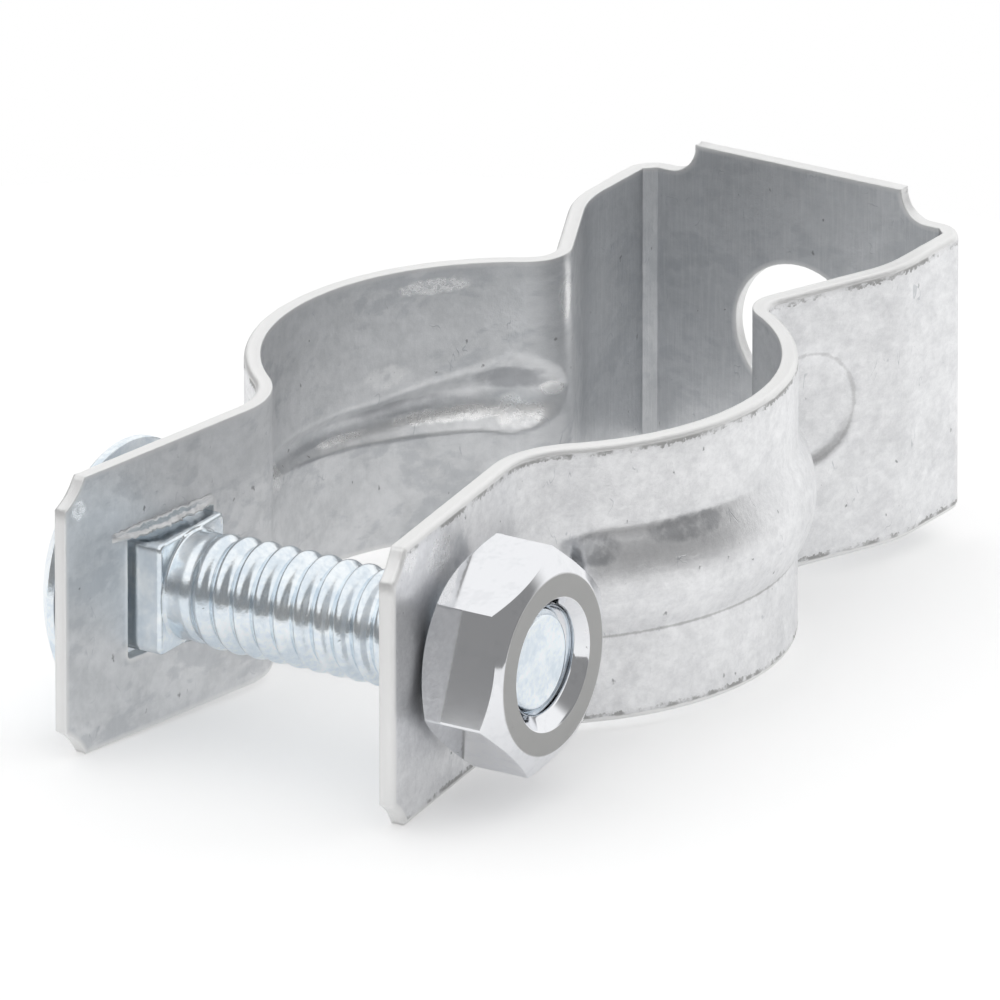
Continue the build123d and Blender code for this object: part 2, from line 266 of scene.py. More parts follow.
strap = {
    "width": 15.875, "thickness": 0.91, "jawRadius": 14.96,
    "baseNeckAngle": 28.0, "farNeckAngle": 25.4, "earNeckAngle": 146.4,
    "baseNeckRadius": 1.6, "earNeckRadius": 4.8,
    "baseOffset": 29.3, "baseHalf": 10.5, "cornerRadius": 1.8, "facet": 0.58,
    "wallStraight": 7.4, "shoulderRadius": 8.0, "baseHole": 3.95,
    "tabHalf": 6.6, "tabRise": 1.75, "notchRadius": 1.6,
    "earLength": 17.7, "earSplay": 8.2, "earClip": 1.6, "clipHollow": 0.12,
    "holeSetback": 8.65, "earHole": 3.575, "squareHalf": 3.525, "squareCorner": 0.25,
    "lipHeight": 0.6, "lipThickness": 0.55, "lipPast": 1.3, "lipSteps": 60,
    "lipProfile": [(-0.02, -0.12), (-0.03, 0.3), (0.0, 0.78), (0.1, 1.0), (0.28, 0.92), (0.5, 0.6),
                   (0.8, 0.2), (1.0, -0.12)],
    "beadHeight": 5.9, "beadDepth": 1.0, "beadStart": 33.5, "beadEnd": 142.0,
    "beadFoot": 0.22, "beadCrease": 0.06,  # rounding where the bead meets the jaw, above and below
    "groove": {
        "run": (-1.7, -1.2, -0.3, 0.8, 2.7, 5.6, 8.7, 16.6, 21.8, 25.0),
        "half": (0.0, 1.3, 2.1, 2.45, 1.85, 1.55, 1.25, 0.95, 0.55, 0.0),
        "deep": (0.0, 0.35, 0.7, 0.95, 1.0, 0.9, 0.7, 0.35, 0.15, 0.0),
        "lift": (0.4, 0.4, 0.4, 0.4, 0.1, -0.2, -0.45, -0.3, 0.0, 0.0),
        "skin": 0.16,
    },
    "dimpleRadius": 3.5, "dimpleDepth": 0.2, "dimpleWall": 0.74, "dimpleFromNeck": 3.2, "dimpleRaise": 1.1,
    "rollWide": 0.34, "rollDeep": 0.24, "burrRound": 0.07, "edgeTear": 0.03,
    "fineRow": 0.18, "fineRows": 19, "coarseFrom": 3.8, "coarseRow": 0.46, "coarseRows": 9,
    "tabRows": [8.05, 8.55, 9.05],
    "depthSpread": 40,  # keeps the inside's texture well away from the outside's
    "cloudSize": 3.6, "blotchSize": 1.1, "crumbSize": 0.42, "stainSize": 6.0, "linesPerMm": (6.0, 0.3, 1),
    "pitSpacing": 0.9, "pitShare": 0.34, "nickStretch": (1.1, 0.5, 1), "nickShare": 0.6,
    # Patches of real wear and stains, and patches of painted shade and painted highlights
    "surfacePatches": [  # at and size are (u, z, depth) in the flat strip, with the depth times depthSpread
        # These two dark patches are painted shade on the near bead's dark band
        {"at": (53.6, 2.2, 0), "size": (2.8, 1.4, 9), "grain": 0.9, "share": 0.8, "paint": "darkened"},
        {"at": (47.6, 2.6, 0), "size": (5.0, 1.1, 9), "grain": 1.2, "share": 0.65, "paint": "darkened"},
        {"at": (68.0, 6.0, 0), "size": (3.0, 1.9, 9), "grain": 2.2, "share": 1.0, "paint": "wearAndHighlight"},
        {"at": (71.9, 7.0, 0), "size": (1.6, 1.3, 9), "grain": 3.0, "share": 0.9, "paint": "wearAndHighlight"},
        # This darker patch is painted shade beside the ear's scuff
        {"at": (65.2, 5.2, 0), "size": (1.6, 2.2, 9), "grain": 1.2, "share": 0.5, "paint": "stainAndShade"},
        {"at": (-73.0, 6.2, 40), "size": (1.0, 1.0, 9), "grain": 2.4, "share": 1.0, "paint": "wearAndHighlight"},
        {"at": (-71.2, 4.4, 40), "size": (3.4, 3.2, 9), "grain": 0.8, "share": 0.35, "paint": "stainAndShade"},
        # These two dark patches are painted shade on the groove's upper slope inside the far jaw
        {"at": (-28.2, 1.0, 40), "size": (4.2, 1.2, 9), "grain": 0.6, "share": 0.85, "paint": "darkened"},
        {"at": (-34.2, -0.2, 40), "size": (6.0, 0.9, 9), "grain": 0.6, "share": 0.6, "paint": "darkened"},
        {"at": (-66.5, 4.3, 58), "size": (6.5, 1.7, 16), "grain": 2.2, "share": 1.0, "paint": "plated"},
        {"at": (-45.5, -1.2, 40), "size": (1.5, 1.6, 9), "grain": 1.8, "share": 0.8, "paint": "wearAndHighlight"},
        {"at": (-32.6, 6.8, 40), "size": (3.8, 0.75, 9), "grain": 2.4, "share": 1.0, "paint": "wearAndHighlight"},
        {"at": (-35.6, 2.0, 40), "size": (2.6, 1.2, 9), "grain": 1.3, "share": 0.6, "paint": "wearAndHighlight"},
        # From here on the bright patches are painted highlights: on the groove's lower flank inside the far
        # jaw, and a tall strip on the far neck's bend
        {"at": (-31.4, -0.95, 40), "size": (6.0, 0.7, 9), "grain": 1.2, "share": 1.0, "paint": "wearAndHighlight"},
        {"at": (-27.8, -0.95, 40), "size": (2.3, 1.5, 9), "grain": 0.9, "share": 1.0, "paint": "wearAndHighlight"},
        {"at": (-26.2, 0.3, 40), "size": (0.9, 0.7, 9), "grain": 0.9, "share": 1.0, "paint": "wearAndHighlight"},
        {"at": (-25.7, 5.8, 40), "size": (0.7, 3.2, 9), "grain": 0.8, "share": 0.8, "paint": "wearAndHighlight"},
        {"at": (-38.6, -1.05, 40), "size": (3.4, 0.4, 9), "grain": 1.8, "share": 0.9, "paint": "wearAndHighlight"},
    ],
    # How far the base's painted shade and rolling lines reach; where the painted shade under the rolled
    # edge runs; the radius of the painted shade ring round the press mark
    "baseShadeAndBrushTo": 24.0, "edgeShadeFrom": 7.36, "edgeShadeTo": 7.66, "dimpleLine": 3.15,
    # Where the painted shade in the bead's lower crease runs along the strip, its height and its half-width
    "creaseRun": (34.0, 41.0, 54.0, 56.0), "creaseAt": -3.02, "creaseHalf": 0.17,
    "paint": {
        "zinc": (0.87, 0.875, 0.885, 1), "zincDull": (0.70, 0.71, 0.72, 1),
        "pale": (0.97, 0.975, 0.985, 1), "grey": (0.74, 0.745, 0.76, 1),
        # The second colour here serves real rubbed wear and painted highlights
        "shear": (0.92, 0.92, 0.915, 1), "wearAndHighlight": (0.99, 0.99, 0.99, 1),
        # Of these three colours, the middle one is painted shade only and the last serves real stains as
        # well as painted shade
        "plated": (0.36, 0.42, 0.46, 1), "darkened": (0.42, 0.43, 0.45, 1), "stainAndShade": (0.53, 0.55, 0.575, 1),
        # The first colour here is painted shade, for the rolled edge, the bead's lower crease and the press
        # mark's rim
        "paintedShade": (0.30, 0.295, 0.29, 1), "speck": (0.30, 0.30, 0.31, 1),
    },
}


def across(v):
    # A plane vector turned a quarter turn to the left
    return np.array([-v[1], v[0]])


def heading(degrees):
    # Unit vector at an angle from +Y towards +X
    turn = math.radians(degrees)
    return np.array([math.sin(turn), math.cos(turn)])


def runBetween(a, b, normal, step):
    length = float(np.linalg.norm(b - a))
    return {"length": length, "step": step, "at": lambda s: (a + (b - a) * s / length, normal, None)}


def bendAbout(centre, radius, fromAngle, toAngle, hollow, step, isJaw=False):
    # An arc from one heading to another; a hollow bend has its centre beyond the strip's outside
    length = abs(math.radians(toAngle - fromAngle)) * radius

    def at(s):
        angle = fromAngle + (toAngle - fromAngle) * s / length
        out = heading(angle)
        return centre + radius * out, -out if hollow else out, angle if isJaw else None

    return {"length": length, "step": step, "at": at}


def neckBend(corner, along, outward, size, radius):
    # Centre of the bend between a straight run that leaves the jaw's circle and that circle
    base = corner + outward * radius
    lead = float(base @ along)
    gap = float(base @ base) - (size["jawRadius"] + radius) ** 2
    slide = -lead + math.sqrt(lead ** 2 - gap)
    return base + along * slide, corner + along * slide


def angleOf(v):
    return math.degrees(math.atan2(v[0], v[1]))


def foldHalf(size):
    # One half of the folded strip's outside seen along the conduit, from the base's middle to an ear's end
    top, half, corner = size["baseOffset"], size["baseHalf"], size["cornerRadius"]
    neck = size["jawRadius"] * heading(size["baseNeckAngle"])
    shoulder = np.array([half, top - size["wallStraight"]])
    taper = (neck - shoulder) / np.linalg.norm(neck - shoulder)
    turn = math.degrees(math.acos(-taper[1]))
    reach = size["shoulderRadius"] * math.tan(math.radians(turn / 2))
    bendTop = shoulder + np.array([0, reach])
    bendEnd = shoulder + taper * reach
    shoulderCentre = bendTop - np.array([size["shoulderRadius"], 0])
    neckCentre, neckStart = neckBend(neck, -taper, across(taper), size, size["baseNeckRadius"])
    earNeck = size["jawRadius"] * heading(size["earNeckAngle"])
    earAlong = heading(180 - size["earSplay"])
    earCentre, earStart = neckBend(earNeck, earAlong, across(earAlong), size, size["earNeckRadius"])
    tip = earNeck + earAlong * size["earLength"]
    jawFrom, jawTo = angleOf(neckCentre), angleOf(earCentre)
    return [
        runBetween(np.array([0.0, top]), np.array([half - corner, top]), np.array([0.0, 1.0]), 0.8),
        bendAbout(np.array([half - corner, top - corner]), corner, 0, 90, False, 0.2),
        runBetween(np.array([half, top - corner]), bendTop, np.array([1.0, 0.0]), 0.7),
        bendAbout(shoulderCentre, size["shoulderRadius"], 90, 90 + turn, False, 0.5),
        runBetween(bendEnd, neckStart, across(taper), 0.3),
        bendAbout(neckCentre, size["baseNeckRadius"], angleOf(neckStart - neckCentre),
                  angleOf(-neckCentre) % 360 - 360, True, 0.16),
        bendAbout(np.zeros(2), size["jawRadius"], jawFrom, jawTo, False, 0.32, True),
        bendAbout(earCentre, size["earNeckRadius"], angleOf(-earCentre),
                  angleOf(earStart - earCentre), True, 0.25),
        runBetween(earStart, tip, across(earAlong), 0.7),
    ]


fold = foldHalf(strap)
farFold = foldHalf(dict(strap, baseNeckAngle=strap["farNeckAngle"]))
foldEnd = sum(part["length"] for part in fold)
foldMarks = np.cumsum([0.0] + [part["length"] for part in fold])


def coinedInside(share):
    # Inside of a base corner, where a facet is coined; share runs along the outside's bend
    lead = strap["cornerRadius"] - strap["thickness"] - strap["facet"]
    slope = strap["facet"] * math.sqrt(2)
    run = share * (2 * lead + slope)
    slant = min(max(run - lead, 0.0), slope) / math.sqrt(2)
    start = np.array([strap["baseHalf"] - strap["cornerRadius"], strap["baseOffset"] - strap["thickness"]])
    return start + np.array([min(run, lead) + slant, -slant - max(run - lead - slope, 0.0)])


def facetSpan():
    # Where the facet starts and ends, as distances along the outside
    lead = strap["cornerRadius"] - strap["thickness"] - strap["facet"]
    whole = 2 * lead + strap["facet"] * math.sqrt(2)
    return [foldMarks[1] + fold[1]["length"] * run / whole for run in (lead, whole - lead)]


def foldAt(u):
    # Outside point, normal, inside point and jaw angle at a distance u from the base's middle
    s = min(abs(u), foldEnd)
    index = min(int(np.searchsorted(foldMarks, s, side="right")) - 1, len(fold) - 1)
    share = (s - foldMarks[index]) / fold[index]["length"]
    part = farFold[index] if u < 0 else fold[index]
    point, normal, angle = part["at"](share * part["length"])
    inside = point - normal * strap["thickness"]
    if index == 1:
        inside = coinedInside(share)
    side = np.array([math.copysign(1, u) if u else 1.0, 1.0])
    return point * side, normal * side, inside * side, angle


def smooth(share):
    return share * share * (3 - 2 * share)


def softRise(height, blend):
    # The larger of height and 0, rounded where they meet
    if height >= blend:
        return height
    return (height + blend) ** 2 / (4 * blend) if height > -blend else 0.0


def beadRise(angle, z, size):
    # How far a jaw's outside is pressed outwards: an arc of tube with a ball at each end
    tube = ((size["beadHeight"] / 2) ** 2 + size["beadDepth"] ** 2) / (2 * size["beadDepth"])
    centre = size["jawRadius"] + size["beadDepth"] - tube
    turn = math.degrees(math.asin(size["beadHeight"] / 2 / size["jawRadius"]))
    past = max(size["beadStart"] + turn - angle, angle - (size["beadEnd"] - turn), 0.0)
    away = centre * math.sin(math.radians(past))
    left = tube ** 2 - z ** 2 - away ** 2
    if left <= 0:
        return 0.0
    rise = centre * math.cos(math.radians(past)) + math.sqrt(left) - size["jawRadius"]
    return softRise(rise, size["beadFoot"] if z > 0 else size["beadCrease"])


def grooveRise(run, z, groove):
    # Inside of the bead: a groove that opens wide over the neck and thins out along the jaw.
    # Its lower lip is crisp and its upper edge soft; run is the distance past the neck.
    half = float(np.interp(run, groove["run"], groove["half"]))
    if half < 0.02:
        return 0.0
    level = (z - float(np.interp(run, groove["run"], groove["lift"]))) / half
    if abs(level) >= 1:
        return 0.0
    deep = float(np.interp(run, groove["run"], groove["deep"]))
    return deep * ((1 - level ** 2) ** 2 if level > 0 else 1 - abs(level) ** 2.3)


neckStart = foldAt(foldMarks[5])[0]
neckCorner = strap["jawRadius"] * heading(strap["baseNeckAngle"])
dimpleAt = foldMarks[5] + float(np.linalg.norm(neckCorner - neckStart)) - strap["dimpleFromNeck"]


def dimpleRise(u, z, size):
    # The shallow press mark on the nut's side: a flat dish with a steep narrow wall
    away = math.hypot(u - dimpleAt, z - size["dimpleRaise"]) / size["dimpleRadius"]
    share = min(max((1 - away) / (1 - size["dimpleWall"]), 0.0), 1.0)
    return -size["dimpleDepth"] * (smooth(share) - 0.12 * min(away, 1) ** 2 * share)


def bent(u, z, depth):
    # A point of the flat strip, depth below its outside, where folding and pressing put it
    point, normal, inside, angle = foldAt(u)
    share = depth / strap["thickness"]
    outRise = inRise = 0.0
    if angle is not None:
        outRise = beadRise(angle, z, strap)
    elif abs(u - dimpleAt) < strap["dimpleRadius"]:
        outRise = dimpleRise(u, z, strap)
        inRise = 0.85 * outRise
    pressed = grooveRise(abs(u) - foldMarks[6], z, strap["groove"])
    if pressed:
        inRise = min(pressed, outRise + strap["thickness"] - strap["groove"]["skin"])
    at = (point + normal * outRise) * (1 - share) + (inside + normal * inRise) * share
    return at[0], at[1], z


def stationsAlong():
    # Rows of points along the strip, closer together in its bends
    found = [mark + nudge for mark in facetSpan() for nudge in (-0.05, 0.0, 0.05)]
    for start, part in zip(foldMarks, fold):
        steps = max(2, math.ceil(part["length"] / part["step"]))
        found += [start + part["length"] * k / steps for k in range(steps)]
    found = sorted(found)
    kept = [found[0]]
    for s in found[1:]:
        if s - kept[-1] > 0.03:
            kept.append(s)
    kept = [s for s in kept if s < foldEnd - strap["earClip"] - 0.2]
    return np.array([-s for s in reversed(kept) if s > 0] + kept)


def stripEdge(stations, size):
    # Upper edge of the flat strip from the far ear's end to the near one's, as (u, z)
    half, rise = size["width"] / 2, size["tabRise"]
    notch, tab = size["notchRadius"], size["tabHalf"]
    right = [(tab, half + rise)]
    for k in range(1, 11):
        turn = math.radians(9 * k)
        right.append((tab + notch - notch * math.cos(turn), half + notch - notch * math.sin(turn)))
    flat = [(s, half + rise) for s in stations if 0 <= s < tab - 0.5]
    plain = [(s, half) for s in stations if s > tab + notch + 0.05]
    clip = []
    for k in range(9):
        share = k / 8
        dent = size["clipHollow"] * math.sin(math.pi * share)
        clip.append((foldEnd - size["earClip"] * (1 - share) - dent, half - size["earClip"] * share - dent))
    right = flat + right + plain + clip
    return [(-u, z) for u, z in reversed(right) if u > 0] + right


def stripLoops(stations, size):
    # Closed outlines of the flat strip with the metal on their left: its edge, then its three holes
    upper = stripEdge(stations, size)
    lower = [(u, -z) for u, z in upper]
    tipHalf = upper[-1][1]
    end = [(foldEnd, tipHalf * (k / 9 - 1)) for k in range(1, 18)]
    farEnd = [(-u, -z) for u, z in end]
    loops = [lower + end + upper[::-1] + farEnd]
    earCentre = foldEnd - size["holeSetback"]
    for centre, radius, count in ((0.0, size["baseHole"], 56), (earCentre, size["earHole"], 52)):
        turns = [-2 * math.pi * k / count for k in range(count)]
        loops.append([(centre + radius * math.cos(t), radius * math.sin(t)) for t in turns])
    square, flat, bow = [], size["squareHalf"], size["squareCorner"]
    for side in range(4):
        turn = -math.pi / 2 * side
        c, s = math.cos(turn), math.sin(turn)
        run = [(flat, (flat - bow) * (1 - k / 6)) for k in range(13)]
        curve = [(flat - bow + bow * math.cos(a), -flat + bow - bow * math.sin(a))
                 for a in (math.radians(22.5 * k) for k in range(1, 4))]
        square += [(-earCentre + c * x - s * y, s * x + c * y) for x, y in run + curve]
    loops.append(square)
    return [np.array(loop) for loop in loops]


def towardsMetal(loop):
    # Step from each point of a loop into the metal, square to both its sides
    before, after = loop - np.roll(loop, 1, 0), np.roll(loop, -1, 0) - loop
    sides = [np.stack([-d[:, 1], d[:, 0]], 1) / np.linalg.norm(d, axis=1)[:, None] for d in (before, after)]
    both = sides[0] + sides[1]
    return both / np.maximum((both * sides[0]).sum(1), 0.4)[:, None]


def inMetal(points, loops):
    # True for the points that lie inside the outline and outside the holes
    inside = np.zeros(len(points), bool)
    for loop in loops:
        a, b = loop, np.roll(loop, -1, 0)
        for (ax, az), (bx, bz) in zip(a, b):
            hit = (az > points[:, 1]) != (bz > points[:, 1])
            if az != bz:
                inside ^= hit & (points[:, 0] < (bx - ax) * (points[:, 1] - az) / (bz - az) + ax)
    return inside


def edgeRows(size):
    # (inset, depth) of each row of points round a cut edge: the outside is rolled over, the inside sharp
    wide, drop, burr = size["rollWide"], size["rollDeep"], size["burrRound"]
    deep, tear = size["thickness"], size["edgeTear"]
    turns = [math.radians(18 * k) for k in range(6)]
    rows = [(wide * (1 - math.sin(a)), drop * (1 - math.cos(a))) for a in turns]
    rows += [(0.0, drop + 0.05), (tear * 0.6, deep * 0.45), (tear, deep * 0.65)]
    rows.append((tear * 0.6, deep - burr - 0.08))
    corner = (math.pi / 2, math.pi / 4, 0)
    rows += [(burr * (1 - math.sin(a)), deep - burr * (1 - math.cos(a))) for a in corner]
    return rows + [(wide, deep)]


def flatRows(size):
    # Heights across the strip's width that carry a row of points, closer together at the beads
    fine = [size["fineRow"] * k for k in range(-size["fineRows"], size["fineRows"] + 1)]
    coarse = [size["coarseFrom"] + size["coarseRow"] * k for k in range(size["coarseRows"])]
    coarse += size["tabRows"]
    return sorted(fine + coarse + [-z for z in coarse])


def makeStrap(size, material):
    stations = stationsAlong()
    loops = stripLoops(stations, size)
    steps = [towardsMetal(loop) for loop in loops]
    faceLoops = [loop + step * size["rollWide"] for loop, step in zip(loops, steps)]
    grid = np.array([(u, z) for u in stations for z in flatRows(size)])
    tips = [side * (foldEnd - back) for side in (-1, 1) for back in (0.6, 1.15, 1.7)]
    grid = np.vstack([grid, np.array([(u, z) for u in tips for z in flatRows(size)[::3]])])
    grid = grid[inMetal(grid, faceLoops)]
    border = np.vstack(faceLoops)
    clear = np.array([np.min(np.hypot(*(border - p).T)) for p in grid]) > 0.16
    grid = grid[clear]
    flat = np.vstack([border, grid])
    edges, start = [], 0
    for loop in faceLoops:
        count = len(loop)
        edges += [(start + k, start + (k + 1) % count) for k in range(count)]
        start += count
    found = delaunay_2d_cdt([Vector(p) for p in flat], edges, [], 0, 1e-7)
    flat = np.array([tuple(p) for p in found[0]])
    triangles = np.array(found[2])
    triangles = triangles[inMetal(flat[triangles].mean(1), faceLoops)]
    print("strap flat pattern:", len(flat), "points,", len(triangles), "triangles")

    deep = size["thickness"]
    points = [bent(u, z, 0.0) for u, z in flat] + [bent(u, z, deep) for u, z in flat]
    spread = [(u, z, 0.0) for u, z in flat] + [(u, z, 1.0) for u, z in flat]
    shear = [0.0] * (2 * len(flat))
    faces = [tuple(t) for t in triangles] + [tuple(int(v) + len(flat) for v in t[::-1]) for t in triangles]
    rows = edgeRows(size)
    start = 0
    for loop, step in zip(loops, steps):
        count = len(loop)
        rings = [[start + k for k in range(count)]]
        for inset, depth in rows[1:-1]:
            ring = []
            for (u, z), (du, dz) in zip(loop, step):
                torn = 0.5 * size["edgeTear"] * grain(1.9 * u, 1.9 * z, 3.5 * depth, 1)
                uu, zz = u + du * (inset + torn), z + dz * (inset + torn)
                ring.append(len(points))
                points.append(bent(uu, zz, depth))
                spread.append((uu, zz, depth / deep))
                shear.append(1.0)
            rings.append(ring)
        rings.append([start + k + len(flat) for k in range(count)])
        for low, high in zip(rings, rings[1:]):
            faces += [(low[k], low[(k + 1) % count], high[(k + 1) % count], high[k]) for k in range(count)]
        start += count
    lipPoints, lipSpread, lipFaces = punchedLip(size)
    faces += [tuple(v + len(points) for v in f) for f in lipFaces]
    points += lipPoints
    spread += lipSpread
    shear += [0.55 if spot[2] > 1.85 else 0.0 for spot in lipSpread]
    return makePiece("folded_strap", points, faces, material, {"flatPlace": spread, "sheared": shear})


def punchedLip(size):
    # Ragged burr that the punch raised along the square hole's upper edge, inside the far ear
    centre = -(foldEnd - size["holeSetback"])
    half, deep = size["squareHalf"], size["thickness"]
    profile, count = size["lipProfile"], size["lipSteps"]
    points, spread, faces = [], [], []
    for k in range(count + 1):
        share = k / count
        u = centre - half - size["lipPast"] + (2 * half + size["lipPast"]) * share
        ends = min(1.0, 4 * share, 6 * (1 - share)) ** 0.5
        torn = 1.0 + 0.35 * grain(2.3 * u, 0, 0, 2) + 0.35 * grain(6 * u, 0, 0, 3)
        high = size["lipHeight"] * ends * torn
        for out, up in profile:
            z = half + out * size["lipThickness"] + 0.16 * grain(3.1 * u, 3 * up, 0, 4)
            points.append(bent(u, z, deep + up * high))
            spread.append((u, z, 1.0 + up))
    wide = len(profile)
    for k in range(count):
        for j in range(wide):
            a, b = k * wide + j, k * wide + (j + 1) % wide
            faces.append((a, b, b + wide, a + wide))
    faces += [tuple(range(wide)), tuple(count * wide + j for j in reversed(range(wide)))]
    return points, spread, faces


def galvanised(size):
    material, tree, shader = newMaterial("galvanisedStrip")
    paint = size["paint"]
    spot = place(tree, "Attribute", {}, attribute_name="flatPlace").outputs["Vector"]
    shear = place(tree, "Attribute", {}, attribute_name="sheared").outputs["Fac"]
    along = place(tree, "SeparateXYZ", {"Vector": spot}).outputs
    flat = stretched(tree, spot, (1, 1, size["depthSpread"]))
    outside = ramp(tree, along["Z"], 0.7, 0.3)
    inside = maths(tree, "SUBTRACT", 1.0, outside)
    clouds = use(tree, mottle, {"Vector": flat, "Size": size["cloudSize"]})
    blotch = use(tree, mottle, {"Vector": flat, "Size": size["blotchSize"]})
    crumbs = use(tree, mottle, {"Vector": flat, "Size": size["crumbSize"]})
    lines = use(tree, brushing, {"Vector": flat, "Stretch": size["linesPerMm"]})["Lines"]
    taller = stretched(tree, flat, (1, 0.7, 1))
    pits, nicks = pitMask(tree, taller, size), nickMask(tree, flat, size)
    lower = stretched(tree, flat, (1, 1.6, 1))
    stains = use(tree, mottle, {"Vector": lower, "Size": size["stainSize"]})["Shade"]

    shade = timesPlus(tree, blotch["Shade"], 0.35, times(tree, clouds["Shade"], 0.35))
    shade = timesPlus(tree, crumbs["Shade"], 0.3, shade)
    outer = blendColour(tree, shade, paint["grey"], paint["pale"])
    soft = timesPlus(tree, crumbs["Shade"], 0.2, times(tree, clouds["Shade"], 0.8))
    inner = blendColour(tree, soft, paint["zincDull"], paint["zinc"])
    inner = blendColour(tree, ramp(tree, stains, 0.55, 0.95, 0.0, 0.45), inner, paint["stainAndShade"])
    colour = blendColour(tree, outside, inner, outer)
    # The base's inside is painted darker as painted shade, with bright rolling lines
    away = maths(tree, "ABSOLUTE", along["X"])
    base = times(tree, inside, ramp(tree, away, size["baseShadeAndBrushTo"], size["baseShadeAndBrushTo"] - 6, 0.25, 1.0))
    colour = blendColour(tree, times(tree, base, 0.45), colour, paint["stainAndShade"])
    brushed = times(tree, ramp(tree, lines, 0.4, 0.75, 0.0, 0.22), base)
    colour = blendColour(tree, brushed, colour, paint["wearAndHighlight"])
    colour = blendColour(tree, times(tree, pits, 0.8), colour, paint["speck"])
    colour = blendColour(tree, times(tree, nicks, 0.6), colour, paint["stainAndShade"])

    # Ragged painted shade just under the rolled-over edge, outside only
    height = maths(tree, "ABSOLUTE", along["Y"])
    ragged = timesPlus(tree, blotch["Height"], 0.9, maths(tree, "SUBTRACT", height, 0.45))
    low = ramp(tree, ragged, size["edgeShadeFrom"], size["edgeShadeFrom"] + 0.12)
    paintedShadeLine = times(tree, low, ramp(tree, height, size["edgeShadeTo"] + 0.08, size["edgeShadeTo"]))
    paintedShadeLine = times(tree, paintedShadeLine, outside)
    paintedShadeLine = times(tree, paintedShadeLine, ramp(tree, clouds["Shade"], 0.8, 0.3, 0.1, 0.7))
    # Painted shade in the crease along the bead's lower foot
    away = maths(tree, "ABSOLUTE", maths(tree, "SUBTRACT", along["Y"], size["creaseAt"]))
    away = timesPlus(tree, crumbs["Shade"], 0.06, away)
    start, full, last, end = size["creaseRun"]
    crease = ramp(tree, away, size["creaseHalf"], 0.04)
    crease = times(tree, crease, ramp(tree, along["X"], start, full))
    crease = times(tree, crease, ramp(tree, along["X"], end, last))
    crease = times(tree, times(tree, crease, outside), 0.5)
    paintedShadeLine = maths(tree, "MAXIMUM", paintedShadeLine, crease)
    # Painted shade round the press mark
    centre = (float(dimpleAt), size["dimpleRaise"], 0)
    reach = vectors(tree, "DISTANCE", flat, centre)["Value"]
    away = maths(tree, "ABSOLUTE", maths(tree, "SUBTRACT", reach, size["dimpleLine"]))
    away = timesPlus(tree, blotch["Shade"], 0.1, away)
    ring = times(tree, ramp(tree, away, 0.22, 0.05), times(tree, outside, 0.26))
    paintedShadeLine = maths(tree, "MAXIMUM", paintedShadeLine, ring)
    # The lines above are painted shade, mixed into the colour here
    colour = blendColour(tree, paintedShadeLine, colour, paint["paintedShade"])

    # Bright patches, real wear and painted highlights alike, are also made smoother and less metallic
    wearAndHighlightShare = 0.0
    for patch in size["surfacePatches"]:
        sockets = {"Vector": flat, "Centre": patch["at"], "Size": patch["size"], "Grain": patch["grain"]}
        share = times(tree, use(tree, brokenPatch, sockets)["Mask"], patch["share"])
        colour = blendColour(tree, share, colour, paint[patch["paint"]])
        if patch["paint"] == "wearAndHighlight":
            wearAndHighlightShare = maths(tree, "MAXIMUM", share, wearAndHighlightShare)
    colour = blendColour(tree, times(tree, shear, 0.92), colour, paint["shear"])

    rough = timesPlus(tree, clouds["Shade"], -0.07, 0.40)
    rough = timesPlus(tree, lines, 0.08, rough)
    rough = timesPlus(tree, wearAndHighlightShare, -0.2, rough)
    rough = timesPlus(tree, paintedShadeLine, 0.2, rough)
    bumps = timesPlus(tree, blotch["Height"], 0.6, times(tree, lines, 0.25))
    bumps = timesPlus(tree, crumbs["Shade"], 0.3, bumps)
    bumps = timesPlus(tree, wearAndHighlightShare, 0.15, bumps)
    bumps = timesPlus(tree, pits, -0.9, bumps)
    bumps = timesPlus(tree, nicks, -0.6, bumps)
    bumps = timesPlus(tree, paintedShadeLine, -0.5, bumps)
    metal = timesPlus(tree, wearAndHighlightShare, -0.3, 1.0)
    dress(tree, shader, colour, metal, rough, bumps, 0.4, 0.00004)
    return material


strapPiece = makeStrap(strap, galvanised(strap))
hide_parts("strap")
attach(strapPiece, "strap")


# Carriage bolt

bolt = {
    "axisY": -21.418, "headSeat": -11.56, "length": 26.2,
    "radius": 3.175, "pitch": 1.27, "threadDepth": 0.38,
    "headRadius": 7.3, "headHeight": 3.4, "headRim": 0.45, "headSoft": 0.12,
    "neckHalf": 3.175, "neckRound": 0.35, "neckDepth": 4.2,
    "runOut": 1.0, "pointLength": 0.75, "pointRadius": 2.55, "columns": 128, "rowsPerTurn": 15,
    "cloudSize": 1.6, "linesPerMm": (0.8, 5, 5), "pitSpacing": 0.8, "pitShare": 0.35,
    "paint": {"zinc": (0.92, 0.97, 1.0, 1), "deep": (0.74, 0.82, 0.89, 1), "speck": (0.40, 0.44, 0.47, 1)},
}


def lathe(rows, columns, place3d):
    # Closed skin through rings of points; each row gives (height, radius) for an angle
    points, faces = [], []
    for row in rows:
        for k in range(columns):
            turn = 2 * math.pi * k / columns
            height, radius = row(turn)
            points.append(place3d(height, radius, turn))
    for j in range(len(rows) - 1):
        for k in range(columns):
            a, b = j * columns + k, j * columns + (k + 1) % columns
            faces.append((a, b, b + columns, a + columns))
    faces.append(tuple(range(columns)))
    faces.append(tuple(reversed(range((len(rows) - 1) * columns, len(rows) * columns))))
    return points, faces


